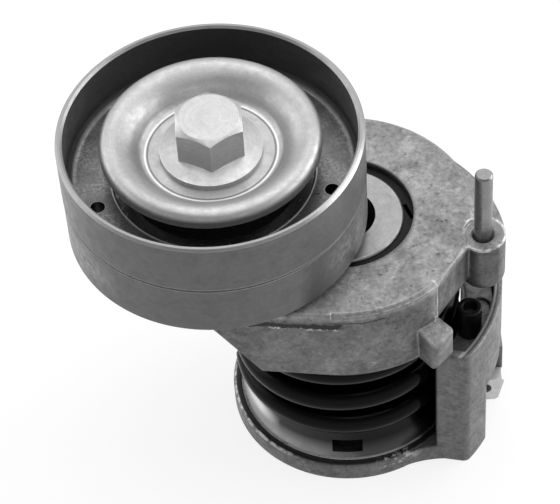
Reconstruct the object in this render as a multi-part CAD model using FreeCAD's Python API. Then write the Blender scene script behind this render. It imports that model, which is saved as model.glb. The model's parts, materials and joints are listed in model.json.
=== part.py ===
import FreeCAD, Part
import math
import os

os.makedirs("parts", exist_ok=True)

# Belt tensioner idler, in millimetres. The origin is the pivot axis where it meets the base's
# seating face, +Z is up and the pulley is on the -X side. Heights are measured from that face.

V = FreeCAD.Vector
UP = V(0, 0, 1)
running = 0.05  # radial clearance of what turns or slides
seated = 0.02  # clearance of what is pressed or clamped
beside = 0.10  # clearance of faces that only meet
over = 1.0  # how far a cutting tool runs past a face
reach = 90.0  # longer than any part of the tensioner
slack = 0.02  # how closely an edge's place is matched when it is looked up

# Pivot: a tapered tube, the split bush that turns on it, and the arm's hub round both
fixing_hole_radius = 5.4
pivot_bore_gap = 2.4
pivot_bore_radius = fixing_hole_radius + pivot_bore_gap
pivot_wall = 6.65
pivot_taper = 1.0
pivot_top_radius = pivot_bore_radius + pivot_wall
pivot_foot_radius = pivot_top_radius - pivot_taper
pivot_foot = 15.0
pivot_bevel = 0.4
spigot_low = 6.5
spigot_step = 0.95
spigot_radius = pivot_foot_radius - spigot_step
bush_wall = 2.35
bush_split_width = 0.9
bush_split_angle = 2.0
bush_split_slant = -72.0
hub_wall = 2.8
hub_radius = pivot_top_radius + bush_wall + hub_wall
base_hub_radius = hub_radius - beside
washer_radius = base_hub_radius - beside
washer_thickness = 2.1
hub_low = pivot_foot + washer_thickness + beside
bush_inset = 0.8
bush_low = hub_low + bush_inset

# Sleeve round the hub and the torsion spring round the sleeve
guide_thickness = 1.0
guide_gap = 0.5
guide_inset = 0.4
guide_radius = hub_radius + guide_thickness
guide_low = hub_low + guide_inset
wire_radius = 3.3
coil_radius = guide_radius + guide_gap + wire_radius
coil_gap = 1.3
coil_first_height = 17.9
coil_second_height = coil_first_height + 2 * wire_radius + coil_gap
coil_third_share = 0.383
coil_start_angle = -85
coil_level_angle = 40
coil_second_angle = 310
coil_third_angle = 720
coil_top_angle = 1400
coil_end_angle = 1535
coil_step_angle = 15
coil_blend_angle = 60

# Base dish
base_outset = 4.6
base_radius = coil_radius + base_outset
base_rim_wall = 1.8
base_rim_radius = base_radius - base_rim_wall
base_rim_height = 4.9
base_floor = 3.5
base_bevel = 0.7
groove_inset = 4.0
groove_width = 8.0
groove_depth = 1.4
groove_outer_radius = base_radius - groove_inset

# Seat pressed from sheet, under the spring
seat_sheet = 1.1
seat_gap = 0.3
seat_lip_radius = base_rim_radius - seat_gap
seat_bore_radius = base_hub_radius + seat_gap
seat_low = base_floor + running
seat_high = coil_first_height - wire_radius - running
seat_flare = 3.5
seat_neck_inset = 2.3
seat_neck_drop = 1.5
seat_waist_inset = 1.9
seat_waist_drop = 3.4
seat_shoulder_inset = 0.6
seat_shoulder_drop = 7.3
seat_foot_height = 1.5
seat_slot_angle = -93.5
seat_slot_width = 7.4
seat_slot_depth = 9.0
seat_slot_low = 7.3
seat_slot_high = 10.6

# Arm: the housing over the spring
arm_height = 66.2
arm_bevel = 1.2
skirt_height = 20.0
skirt_low = arm_height - skirt_height
housing_gap = 0.2
housing_wall = 2.1
housing_draft = 1.2
housing_bore_radius = base_radius + housing_gap
housing_top_radius = housing_bore_radius + housing_wall
housing_foot_radius = housing_top_radius + housing_draft
roof_thickness = 5.4
housing_roof = arm_height - roof_thickness
window_start_angle = -50.0
window_end_angle = 16.0
window_rise = 7.8
window_height = skirt_low + window_rise
flat_angle = -35.5
flat_half_angle = 15.5
flat_depth = 1.0
pivot_drop = 0.8
pivot_height = arm_height - pivot_drop
bush_high = pivot_height - pivot_drop

# Lipped ring between the spring's top coil and the arm's roof
cap_ring_thickness = 1.7
cap_ring_gap = 0.3
cap_ring_lip = 0.7
cap_ring_lip_height = 5.7
cap_ring_high = housing_roof - beside
cap_ring_low = cap_ring_high - cap_ring_thickness
cap_ring_inner_radius = hub_radius + beside
cap_ring_outer_radius = housing_bore_radius - cap_ring_gap
coil_top_height = cap_ring_low - beside - wire_radius
guide_high = cap_ring_low - guide_inset

# Column on the base, with the lock pin's pocket and the mounting ear
column_gap = 5.0
column_lap = 0.1
column_depth = 8.9
column_inner_radius = base_radius - column_lap
column_outer_radius = column_inner_radius + column_depth
column_height = skirt_low - column_gap
column_start_angle = -62.0
column_end_angle = 11.0
column_body_angle = -30.0
column_left_x = 20.3
column_front_y = -24.1
column_front_angle = -13.0
column_corner_round = 2.0
gusset_angle = -62.5
gusset_lap = 2.0
gusset_hollow = 0.4
wall_thickness = 1.9
inner_wall_thickness = 2.2
wall_underside = 21.2
pocket_depth = 7.0
pocket_floor = column_height - pocket_depth
landing_radius = 2.5
landing_depth = 0.6
landing_inset = 5.2
landing_distance = column_outer_radius - landing_inset
landing_angle = -8.1
ear_inset = 0.2
ear_half_width = 8.0
ear_right_x = column_outer_radius - ear_inset
ear_low = 6.5
ear_bevel = 1.0
ear_hole_radius = 2.2
ear_hole_inset = 4.6
ear_hole_x = ear_right_x - ear_hole_inset
ear_hole_height = 10.9

# Plate nut in front of the ear's hole
nut_inset = 2.75
nut_width = 7.75
nut_lean = 1.7
nut_drop = 4.6
nut_height = 8.1
nut_thickness = 3.9
nut_thread_radius = 1.65
nut_bevel = 0.7
nut_left_x = ear_hole_x - nut_inset
nut_right_x = nut_left_x + nut_width

# Arm: the limb to the pulley
centre_distance = 28.8
pulley_x = -centre_distance
limb_end_radius = 27.6
limb_draft = 0.6
limb_bevel = 0.7
limb_thickness = 6.2
limb_low = arm_height - limb_thickness
limb_slope_start = -20.5
limb_slope_width = 10.5
limb_slope_end = limb_slope_start - limb_slope_width
limb_wall = 4.0
limb_roof = 4.0
limb_rib = 3.0
limb_boss_radius = 14.0
pulley_seat_radius = 13.2

# Arm: the pin's boss, its web and the stop
pin_angle = -13.95
pin_outset = 0.82
pin_distance = housing_foot_radius + pin_outset
pin_boss_radius = 5.3
pin_boss_height = 15.0
pin_boss_drop = 1.2
pin_boss_high = arm_height - pin_boss_drop
pin_boss_low = pin_boss_high - pin_boss_height
pin_boss_round = 2.6
pin_notch_radius = 4.4
web_start_angle = 29.4
web_root_angle = -12.0
web_bulge = 2.3
stop_angle = -43.0
stop_inset = 0.2
stop_depth = 5.3
stop_nose_depth = 0.7
stop_face = housing_top_radius + stop_depth
stop_nose_face = housing_foot_radius + stop_nose_depth
stop_side_left = -10.6
stop_root_left = -9.5
stop_nose_left = -7.0
stop_side_right = -3.4
stop_rise = 1.5
stop_drop = 0.3
stop_nose_drop = 3.5
stop_low = skirt_low - stop_drop
stop_nose_low = stop_low - stop_nose_drop
stop_round = 1.4

# Lock pin, and the stop's buffer on its peg
pin_radius = 2.1
pin_length = 35.2
pin_recess = 0.5
pin_low = pin_boss_low + pin_recess
pin_high = pin_low + pin_length
pin_bevel = 0.45
pin_flare = 0.8
buffer_angle = -22.41
buffer_outset = 2.58
buffer_distance = column_inner_radius + buffer_outset
buffer_radius = 2.9
buffer_rise = 2.3
buffer_high = column_height + buffer_rise
peg_radius = 1.6
peg_depth = 8.2
peg_drop = 0.8
peg_low = pocket_floor - peg_depth
peg_high = column_height - peg_drop

# Pulley bearing
bearing_bore_radius = 10.0
bearing_radius = 23.5
bearing_width = 14.0
bearing_gap = 2.2
bearing_low = arm_height + bearing_gap
bearing_high = bearing_low + bearing_width
bearing_middle = (bearing_low + bearing_high) / 2
bearing_bevel = 0.5
inner_shoulder_radius = 13.4
outer_shoulder_radius = 20.2
ball_radius = 3.95
ball_circle_radius = (inner_shoulder_radius + outer_shoulder_radius) / 2
ball_count = 8
cage_wall = 2.2
cage_height = 5.0
seal_thickness = 0.8
seal_depth = 0.4

# Belt pulley
pulley_radius = 35.0
pulley_width = 28.0
pulley_drop = 0.2
pulley_low = bearing_low - pulley_drop
pulley_high = pulley_low + pulley_width
rim_wall = 1.6
rim_bevel = 0.5
belt_groove_width = 0.8
belt_groove_depth = 0.35
lower_band_step = 0.1
pulley_hub_wall = 2.1
pulley_hub_radius = bearing_radius + seated + pulley_hub_wall
hub_lip_width = 1.5
hub_lip_height = 1.1
web_depth = 12.7
web_high = pulley_high - web_depth
web_thickness = 4.1
web_low = web_high - web_thickness
web_fillet = 2.0
web_root_width = 2.2
web_root_radius = pulley_radius - rim_wall - web_root_width
web_width = web_root_radius - pulley_hub_radius
web_hole_count = 5
web_hole_angle = -16.6
web_hole_share = 0.305
web_hole_place = 0.426
web_hole_radius = web_width * web_hole_share
web_hole_distance = pulley_hub_radius + web_width * web_hole_place

# Spacer, dust cap and bolt on the pulley's axis
spacer_radius = 13.2
spacer_height = 6.6
cap_low = bearing_high + spacer_height
cap_height = 6.8
cap_high = cap_low + cap_height
cap_sheet = 0.9
cap_overhang = 1.8
cap_radius = bearing_radius + cap_overhang
cap_seat_radius = 15.1
cap_foot_run = 2.0
cap_foot_rise = 2.6
cap_brow_run = 2.8
cap_brow_drop = 1.1
cap_ridge_inset = 2.7
cap_ridge_radius = cap_radius - cap_ridge_inset
cap_shoulder_inset = 0.9
cap_shoulder_drop = 0.55
cap_rim_drop = 2.05
cap_skirt_drop = 3.4
bolt_radius = 5.0
bolt_length = 28.3
bolt_end_gap = 0.4
bolt_flange_radius = 11.8
bolt_flange_edge = 1.3
bolt_flange_height = 2.5
bolt_head_height = 11.3
bolt_head_width = 15.0
bolt_crown_radius = 6.9
bolt_crown_angle = 30.0
bolt_corner_angle = -88.3
bolt_seat = cap_low + cap_sheet + seated
bolt_low = bolt_seat - bolt_length


def polar(radius, degrees, height=0.0):
    turn = math.radians(degrees)
    return V(radius * math.cos(turn), radius * math.sin(turn), height)


def cylinder(radius, low, high, centre=V(0, 0, 0)):
    return Part.makeCylinder(radius, high - low, V(centre.x, centre.y, low))


def across(radius, x, height):
    """A long round hole that runs front to back."""
    return Part.makeCylinder(radius, reach, V(x, -reach / 2, height), V(0, 1, 0))


def ring(outer, inner, low, high, centre=V(0, 0, 0)):
    return cylinder(outer, low, high, centre).cut(cylinder(inner, low - over, high + over, centre))


def box(x_from, x_to, y_from, y_to, low, high):
    return Part.makeBox(x_to - x_from, y_to - y_from, high - low, V(x_from, y_from, low))


def sector(start, finish, low, high):
    """A wedge round the pivot axis, between two angles."""
    rim = [polar(reach, start + (finish - start) * part / 3, low) for part in range(4)]
    corners = [V(0, 0, low)] + rim + [V(0, 0, low)]
    return Part.Face(Part.makePolygon(corners)).extrude(V(0, 0, high - low))


def turned(points, x=0.0):
    """A closed outline of radius and height pairs, turned about a vertical axis at x."""
    corners = [V(x + radius, 0, height) for radius, height in points]
    return Part.Face(Part.makePolygon(corners + corners[:1])).revolve(V(x, 0, 0), UP, 360)


def pressed(points, sheet, bore, x=0.0):
    """A turned sheet with a level floor and an upright rim.

    Its outer skin is a smooth curve through radius and height pairs; the inner skin lies one
    sheet's thickness inside it.
    """
    skins = []
    places = [V(x + radius, 0, height) for radius, height in points]
    for turn in range(2):
        curve = Part.BSplineCurve()
        curve.interpolate(Points=places, InitialTangent=V(1, 0, 0), FinalTangent=V(0, 0, -1))
        first = V(x + bore, 0, places[0].z)
        skins.append((first, Part.makeLine(first, places[0]), curve.toShape(), places[-1]))
        slopes = [curve.tangent(curve.parameter(place))[0] for place in places]
        places = [place + V(slope.z, 0, -slope.x) * sheet for place, slope in zip(places, slopes)]
    outer, inner = skins
    edges = [outer[1], outer[2], Part.makeLine(outer[3], inner[3]), inner[2], inner[1],
             Part.makeLine(inner[0], outer[0])]
    return Part.Face(Part.Wire(Part.__sortEdges__(edges))).revolve(V(x, 0, 0), UP, 360)


def round_edges(shape, radius, height):
    """The circular edges that lie at a height, with a given radius."""
    found = []
    for edge in shape.Edges:
        if isinstance(edge.Curve, Part.Circle) and abs(edge.Curve.Radius - radius) < slack:
            if abs(edge.Curve.Center.z - height) < slack:
                found.append(edge)
    return found


def save(shape, name):
    solids = shape.Solids
    whole = solids[0] if len(solids) == 1 else Part.makeCompound(solids)
    whole.exportStep("parts/" + name + ".step")


def pivot_radius(height):
    rise = (height - pivot_foot) / (pivot_height - pivot_foot)
    return pivot_foot_radius + rise * (pivot_top_radius - pivot_foot_radius)


def pivot_cone(extra, low, high):
    """A cone that follows the pivot's taper at a wall's distance."""
    return Part.makeCone(pivot_radius(low) + extra, pivot_radius(high) + extra, high - low, V(0, 0, low))


pulley_axis = V(pulley_x, 0, 0)
pin_axis = polar(pin_distance, pin_angle)
buffer_axis = polar(buffer_distance, buffer_angle)


# ---- base -------------------------------------------------------------------------------------

def base_dish():
    rim = turned((
        (fixing_hole_radius, 0), (base_radius, 0), (base_radius, base_rim_height - base_bevel),
        (base_radius - base_bevel, base_rim_height), (base_rim_radius, base_rim_height),
        (base_rim_radius, base_floor), (base_hub_radius, base_floor), (base_hub_radius, pivot_foot),
        (spigot_radius + seated, pivot_foot), (spigot_radius + seated, spigot_low),
        (fixing_hole_radius, spigot_low)))
    return rim.cut(ring(groove_outer_radius, groove_outer_radius - groove_width, -over, groove_depth))


def front_plane(depth, low, high):
    """What lies in front of the column's front face, or of a face at a depth behind it."""
    block = box(-reach, reach, -reach, depth, low - over, high + over)
    block.rotate(V(0, 0, 0), UP, column_front_angle)
    block.translate(V(column_left_x, column_front_y, 0))
    return block


def column(low, high):
    """The column's plan between two heights: part of a ring with a flat left side and front."""
    curve = ring(column_outer_radius, column_inner_radius, low, high)
    curve = curve.common(sector(column_start_angle, column_end_angle, low, high))
    left = box(-reach, column_left_x, -reach, 0, low - over, high + over)
    curve = curve.cut([left, front_plane(0, low, high)])
    upright = [edge for edge in curve.Edges if edge.BoundBox.ZLength > high - low - slack]
    corner = min(upright, key=lambda edge: edge.CenterOfMass.y)
    return curve.makeFillet(column_corner_round, [corner])


def gusset():
    """The blend of the base's rim into the column's front."""
    first = polar(base_radius, gusset_angle)
    last = V(column_left_x, column_front_y, 0) + polar(gusset_lap, column_front_angle)
    across_line = last - first
    middle = (first + last) / 2 + V(-across_line.y, across_line.x, 0).normalize() * gusset_hollow
    inner = V(last.x, -base_rim_radius / 2, 0)
    edges = [Part.Arc(first, middle, last).toShape(), Part.makeLine(last, inner), Part.makeLine(inner, first)]
    wedge = Part.Face(Part.Wire(edges)).extrude(V(0, 0, base_rim_height))
    return wedge.cut(cylinder(base_radius - column_lap, -over, reach))


def column_wall():
    """The thin wall that stands on the column round the lock pin's pocket."""
    pocket = cylinder(column_outer_radius - wall_thickness, pocket_floor - over, reach)
    pocket = pocket.cut(front_plane(wall_thickness, pocket_floor - over, reach))
    return column(pocket_floor, column_height).cut(pocket)


def mounting_ear():
    block = box(column_inner_radius, ear_right_x, -ear_half_width, ear_half_width, ear_low,
                wall_underside + over)
    corner = V(ear_right_x, 0, ear_low)
    lower = [edge for edge in block.Edges if edge.CenterOfMass.distanceToPoint(corner) < slack]
    block = block.makeChamfer(ear_bevel, lower)
    hole = across(ear_hole_radius, ear_hole_x, ear_hole_height)
    return block.cut([hole, cylinder(column_inner_radius, -over, reach)])


def base_bracket():
    under = sector(column_body_angle, column_end_angle + over, -over, wall_underside)
    under = under.cut(cylinder(column_inner_radius + inner_wall_thickness, -over, wall_underside))
    post = column(0, pocket_floor).cut(under)
    body = base_dish().fuse([post, gusset(), mounting_ear()]).removeSplitter()
    peg_hole = cylinder(peg_radius + seated, peg_low - seated, reach, buffer_axis)
    landing = cylinder(landing_radius, pocket_floor - landing_depth, reach, polar(landing_distance, landing_angle))
    return body.cut([peg_hole, landing])


def mount_nut():
    back = -ear_half_width - beside
    low = ear_hole_height - nut_drop
    high = low + nut_height
    corners = [V(nut_left_x, back, low), V(nut_right_x - nut_lean, back, low),
               V(nut_right_x, back, high), V(nut_left_x, back, high)]
    plate = Part.Face(Part.makePolygon(corners + corners[:1])).extrude(V(0, -nut_thickness, 0))
    through = [edge for edge in plate.Edges if abs(edge.tangentAt(0).y) > 1 - slack]
    plate = plate.makeChamfer(nut_bevel, through)
    return plate.cut(across(nut_thread_radius, ear_hole_x, ear_hole_height))


def pivot_tube():
    cone = pivot_cone(0, pivot_foot, pivot_height)
    cone = cone.makeChamfer(pivot_bevel, round_edges(cone, pivot_top_radius, pivot_height))
    spigot = cylinder(spigot_radius, spigot_low + seated, pivot_foot)
    return cone.fuse(spigot).cut(cylinder(pivot_bore_radius, 0, reach))


def thrust_washer():
    return ring(washer_radius, pivot_radius(hub_low) + beside, pivot_foot + seated, hub_low - beside)


def spring_seat():
    cup = pressed((
        (seat_lip_radius - seat_flare, seat_high),
        (seat_lip_radius - seat_neck_inset, seat_high - seat_neck_drop),
        (seat_lip_radius - seat_waist_inset, seat_high - seat_waist_drop),
        (seat_lip_radius - seat_shoulder_inset, seat_high - seat_shoulder_drop),
        (seat_lip_radius, seat_low + seat_foot_height), (seat_lip_radius, seat_low)),
        seat_sheet, seat_bore_radius)
    slot = box(base_radius - seat_slot_depth, base_radius, -seat_slot_width / 2, seat_slot_width / 2,
               seat_slot_low, seat_slot_high)
    slot.rotate(V(0, 0, 0), UP, seat_slot_angle)
    return cup.cut(slot)


# ---- torsion spring ---------------------------------------------------------------------------

def station_height(angle):
    """The wire's height at an angle, straight between the places where the pitch changes."""
    third = coil_second_height + coil_third_share * (coil_top_height - coil_second_height)
    stations = ((coil_start_angle, coil_first_height), (coil_level_angle, coil_first_height),
                (coil_second_angle, coil_second_height), (coil_third_angle, third),
                (coil_top_angle, coil_top_height))
    for (start, low), (finish, high) in zip(stations, stations[1:]):
        if angle <= finish:
            return low + (high - low) * max(0.0, angle - start) / (finish - start)
    return coil_top_height


def coil_height(angle):
    """The station heights, blended so that the coil's slope changes gently."""
    span = range(-coil_blend_angle, coil_blend_angle + 1, coil_step_angle)
    return sum(station_height(angle + shift) for shift in span) / len(span)


def torsion_spring():
    """Round sections of the wire, one for each step round the coil, joined to one another."""
    sections = []
    for angle in range(coil_start_angle, coil_end_angle + 1, coil_step_angle):
        wire = Part.Circle(V(coil_radius, 0, coil_height(angle)), V(0, 1, 0), wire_radius).toShape()
        wire.rotate(V(0, 0, 0), UP, angle - 90)
        sections.append(Part.Wire(wire))
    return Part.makeLoft(sections, True, True)


def spring_guide():
    return ring(guide_radius, hub_radius + seated, guide_low, guide_high)


def spring_cap():
    shelf = cap_ring_outer_radius - cap_ring_lip
    lip_low = cap_ring_high - cap_ring_lip_height
    return turned((
        (cap_ring_inner_radius, cap_ring_low), (shelf, cap_ring_low), (shelf, lip_low),
        (cap_ring_outer_radius, lip_low), (cap_ring_outer_radius, cap_ring_high),
        (cap_ring_inner_radius, cap_ring_high)))


# ---- arm --------------------------------------------------------------------------------------

def limb_outline(root, end, height):
    """The limb's plan: straight flanks from the housing to the round pulley end."""
    lean = math.degrees(math.asin((root - end) / centre_distance))
    near, far = 90 + lean, 270 - lean
    centre = V(pulley_x, 0, height)
    first = polar(root, near, height)
    second = centre + polar(end, near)
    third = centre + polar(end, far)
    fourth = polar(root, far, height)
    nose = Part.Arc(second, centre + V(-end, 0, 0), third).toShape()
    edges = [Part.makeLine(first, second), nose, Part.makeLine(third, fourth), Part.makeLine(fourth, first)]
    return Part.Wire(edges)


def limb_underside():
    """What is missing under the limb: the slope and the level part up to the pulley end."""
    corners = [V(limb_slope_start, 0, skirt_low - over), V(limb_slope_start, 0, skirt_low),
               V(limb_slope_end, 0, limb_low), V(-reach, 0, limb_low), V(-reach, 0, skirt_low - over)]
    face = Part.Face(Part.makePolygon(corners + corners[:1]))
    face.translate(V(0, -reach / 2, 0))
    return face.extrude(V(0, reach, 0))


def limb_pocket():
    """Two hollows under the limb, parted by a rib and the bolt boss."""
    root, end = housing_top_radius - limb_wall, limb_end_radius - limb_wall
    hollow = Part.makeLoft([limb_outline(root, end, skirt_low),
                            limb_outline(root, end, arm_height - limb_roof)], True)
    keep = [cylinder(limb_boss_radius, 0, reach, pulley_axis),
            cylinder(housing_foot_radius + limb_rib, 0, reach),
            box(-reach, 0, -limb_rib / 2, limb_rib / 2, 0, reach)]
    return hollow.cut(keep)


def limb():
    body = Part.makeLoft([
        limb_outline(housing_foot_radius, limb_end_radius + limb_draft, skirt_low),
        limb_outline(housing_top_radius, limb_end_radius, arm_height)], True)
    upper = [edge for edge in body.Edges if edge.BoundBox.ZMin > arm_height - slack]
    body = body.makeChamfer(limb_bevel, [edge for edge in upper if edge.CenterOfMass.x < pulley_x / 2])
    return body.cut([limb_underside(), limb_pocket()])


def housing():
    drum = Part.makeCone(housing_foot_radius, housing_top_radius, arm_height - skirt_low, V(0, 0, skirt_low))
    drum = drum.makeChamfer(arm_bevel, round_edges(drum, housing_top_radius, arm_height))
    flat = box(housing_top_radius - flat_depth, reach, -reach, reach, window_height - over, reach)
    flat.rotate(V(0, 0, 0), UP, flat_angle)
    flat = flat.common(sector(flat_angle - flat_half_angle, flat_angle + flat_half_angle, 0, reach))
    window = sector(window_start_angle, window_end_angle, skirt_low - over, window_height)
    return drum.cut([flat, window])


def pin_boss():
    boss = cylinder(pin_boss_radius, pin_boss_low, pin_boss_high, pin_axis)
    boss = boss.makeFillet(pin_boss_round, round_edges(boss, pin_boss_radius, pin_boss_low))
    centre = pin_axis + UP * window_height
    start = polar(housing_top_radius, web_start_angle, window_height)
    finish = centre + V(pin_boss_radius, 0, 0)
    root = polar(housing_bore_radius, web_root_angle, window_height)
    outward = math.degrees(math.atan2(finish.x - start.x, start.y - finish.y))
    middle = (start + finish) / 2 + polar(web_bulge, outward)
    edges = [Part.Arc(start, middle, finish).toShape(), Part.makeLine(finish, centre),
             Part.makeLine(centre, root), Part.makeLine(root, start)]
    web = Part.Face(Part.Wire(edges)).extrude(V(0, 0, pin_boss_high - window_height))
    return boss.fuse(web)


def stop_lug():
    """The stop on the skirt, its top sloping up to the wall, with the nose that meets the buffer."""
    inner = housing_bore_radius + stop_inset
    plan = [V(inner, stop_root_left, stop_low), V(stop_face, stop_side_left, stop_low),
            V(stop_face, stop_side_right, stop_low), V(inner, stop_side_right, stop_low)]
    block = Part.Face(Part.makePolygon(plan + plan[:1])).extrude(V(0, 0, window_height + stop_rise - stop_low))
    above = Part.Face(Part.makePolygon([
        V(inner - over, -reach, window_height + stop_rise), V(inner, -reach, window_height + stop_rise),
        V(stop_face, -reach, window_height), V(reach, -reach, window_height),
        V(reach, -reach, reach), V(inner - over, -reach, reach),
        V(inner - over, -reach, window_height + stop_rise)])).extrude(V(0, 2 * reach, 0))
    block = block.cut(above)
    outer = [edge for edge in block.Edges if edge.BoundBox.XMin > stop_face - slack]
    block = block.makeFillet(stop_round, outer)
    nose = box(inner, stop_nose_face, stop_nose_left, stop_side_right, stop_nose_low, stop_low + over)
    lug = block.fuse(nose)
    lug.rotate(V(0, 0, 0), UP, stop_angle)
    return lug


def tensioner_arm():
    body = housing().fuse([limb(), pin_boss(), stop_lug()])
    body = body.cut(cylinder(housing_bore_radius, skirt_low - over, housing_roof))
    hub = cylinder(hub_radius, hub_low, housing_roof + over)
    seat = cylinder(pulley_seat_radius, arm_height - over, bearing_low - seated, pulley_axis)
    journal = cylinder(bearing_bore_radius - seated, arm_height, bearing_high - over, pulley_axis)
    body = body.fuse([hub, seat, journal]).removeSplitter()
    bore = pivot_cone(bush_wall + seated, hub_low - over, arm_height + over)
    bolt_hole = cylinder(bolt_radius + running, bolt_low - bolt_end_gap, reach, pulley_axis)
    notch = cylinder(pin_notch_radius, pin_boss_high, reach, pin_axis)
    pin_hole = cylinder(pin_radius + running, 0, reach, pin_axis)
    flare = Part.makeCone(pin_radius, pin_radius + pin_flare, over, pin_axis + UP * (pin_boss_high - over))
    return body.cut([bore, bolt_hole, notch, pin_hole, flare])


def pivot_bush():
    shell = pivot_cone(bush_wall, bush_low, bush_high).cut(pivot_cone(running, bush_low, bush_high))
    split = box(-bush_wall, bush_wall, -bush_split_width / 2, bush_split_width / 2, 0, reach)
    split.rotate(V(0, 0, 0), UP, bush_split_angle + bush_split_slant)
    split.translate(polar(pivot_top_radius + bush_wall / 2, bush_split_angle))
    return shell.cut(split)


# ---- pulley and its bearing -------------------------------------------------------------------

def pulley_rim():
    """The flat band that the belt runs on, with the root of the web inside it."""
    groove_low = (pulley_low + pulley_high - belt_groove_width) / 2
    groove_high = groove_low + belt_groove_width
    groove_radius = pulley_radius - lower_band_step - belt_groove_depth
    inner = pulley_radius - rim_wall
    lower = pulley_radius - lower_band_step
    body = turned((
        (web_root_radius, web_low), (inner, web_low), (inner, pulley_low),
        (lower - rim_bevel, pulley_low), (lower, pulley_low + rim_bevel), (lower, groove_low),
        (groove_radius, groove_low), (groove_radius, groove_high), (pulley_radius, groove_high),
        (pulley_radius, pulley_high - rim_bevel), (pulley_radius - rim_bevel, pulley_high),
        (inner + rim_bevel, pulley_high), (inner, pulley_high - rim_bevel), (inner, web_high),
        (web_root_radius, web_high)), pulley_x)
    return body.makeFillet(web_fillet, round_edges(body, inner, web_high))


def pulley_web():
    """The pulley's web and hub, with a lip under the bearing's outer ring."""
    bore = bearing_radius + seated
    lip_low = bearing_low - hub_lip_height
    lip = bearing_radius - hub_lip_width
    body = turned((
        (lip, lip_low), (pulley_hub_radius, lip_low), (pulley_hub_radius, web_low),
        (web_root_radius, web_low),
        (web_root_radius, web_high), (bore, web_high), (bore, bearing_low - seated),
        (lip, bearing_low - seated)), pulley_x)
    holes = []
    for number in range(web_hole_count):
        place = polar(web_hole_distance, web_hole_angle + 360 / web_hole_count * number)
        holes.append(cylinder(web_hole_radius, pulley_low, pulley_high, place + pulley_axis))
    return body.cut(holes)


def raceway():
    return Part.makeTorus(ball_circle_radius, ball_radius + running, pulley_axis + UP * bearing_middle)


def bearing_outer_ring():
    body = turned((
        (outer_shoulder_radius, bearing_low), (bearing_radius - bearing_bevel, bearing_low),
        (bearing_radius, bearing_low + bearing_bevel), (bearing_radius, bearing_high - bearing_bevel),
        (bearing_radius - bearing_bevel, bearing_high), (outer_shoulder_radius, bearing_high)), pulley_x)
    return body.cut(raceway())


def bearing_inner_ring():
    body = turned((
        (bearing_bore_radius, bearing_low + bearing_bevel),
        (bearing_bore_radius + bearing_bevel, bearing_low), (inner_shoulder_radius, bearing_low),
        (inner_shoulder_radius, bearing_high), (bearing_bore_radius + bearing_bevel, bearing_high),
        (bearing_bore_radius, bearing_high - bearing_bevel)), pulley_x)
    return body.cut(raceway())


def ball_places():
    return [polar(ball_circle_radius, 360 / ball_count * number, bearing_middle) + pulley_axis
            for number in range(ball_count)]


def bearing_balls():
    return Part.makeCompound([Part.makeSphere(ball_radius, place) for place in ball_places()])


def ball_cage():
    half = cage_wall / 2
    body = ring(ball_circle_radius + half, ball_circle_radius - half, bearing_middle - cage_height / 2,
                bearing_middle + cage_height / 2, pulley_axis)
    return body.cut([Part.makeSphere(ball_radius + running, place) for place in ball_places()])


def bearing_seal(low):
    return ring(outer_shoulder_radius - seated, inner_shoulder_radius + beside, low, low + seal_thickness,
                pulley_axis)


def pulley_spacer():
    return ring(spacer_radius, bolt_radius + running, bearing_high + seated, cap_low - seated, pulley_axis)


def dust_cap():
    return pressed((
        (cap_seat_radius, cap_low + cap_sheet), (cap_seat_radius + cap_foot_run, cap_low + cap_foot_rise),
        (cap_ridge_radius - cap_brow_run, cap_high - cap_brow_drop), (cap_ridge_radius, cap_high),
        (cap_radius - cap_shoulder_inset, cap_high - cap_shoulder_drop),
        (cap_radius, cap_high - cap_rim_drop), (cap_radius, cap_high - cap_skirt_drop)),
        cap_sheet, bolt_radius + running, pulley_x)


def pulley_bolt():
    flange_top = bolt_seat + bolt_flange_height
    head_top = bolt_seat - seated + bolt_head_height
    collar = turned((
        (0, bolt_seat), (bolt_flange_radius, bolt_seat), (bolt_flange_radius, bolt_seat + bolt_flange_edge),
        (bolt_head_width / 2, flange_top), (0, flange_top)), pulley_x)
    corner = bolt_head_width / math.sqrt(3)
    foot = flange_top - over
    corners = [polar(corner, bolt_corner_angle + 60 * side, foot) + pulley_axis for side in range(7)]
    head = Part.Face(Part.makePolygon(corners)).extrude(V(0, 0, head_top - foot))
    shoulder = head_top - (corner - bolt_crown_radius) * math.tan(math.radians(bolt_crown_angle))
    crown = turned((
        (0, foot - over), (corner + over, foot - over), (corner + over, shoulder), (corner, shoulder),
        (bolt_crown_radius, head_top), (0, head_top)), pulley_x)
    shank = cylinder(bolt_radius, bolt_low, bolt_seat + over, pulley_axis)
    return head.common(crown).fuse([collar, shank]).removeSplitter()


# ---- lock pin and stop buffer -----------------------------------------------------------------

def lock_pin():
    pin = cylinder(pin_radius, pin_low, pin_high, pin_axis)
    ends = round_edges(pin, pin_radius, pin_high) + round_edges(pin, pin_radius, pin_low)
    return pin.makeChamfer(pin_bevel, ends)


def stop_peg():
    return cylinder(peg_radius, peg_low, peg_high, buffer_axis)


def stop_buffer():
    return ring(buffer_radius, peg_radius + running, pocket_floor + running, buffer_high, buffer_axis)


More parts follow.
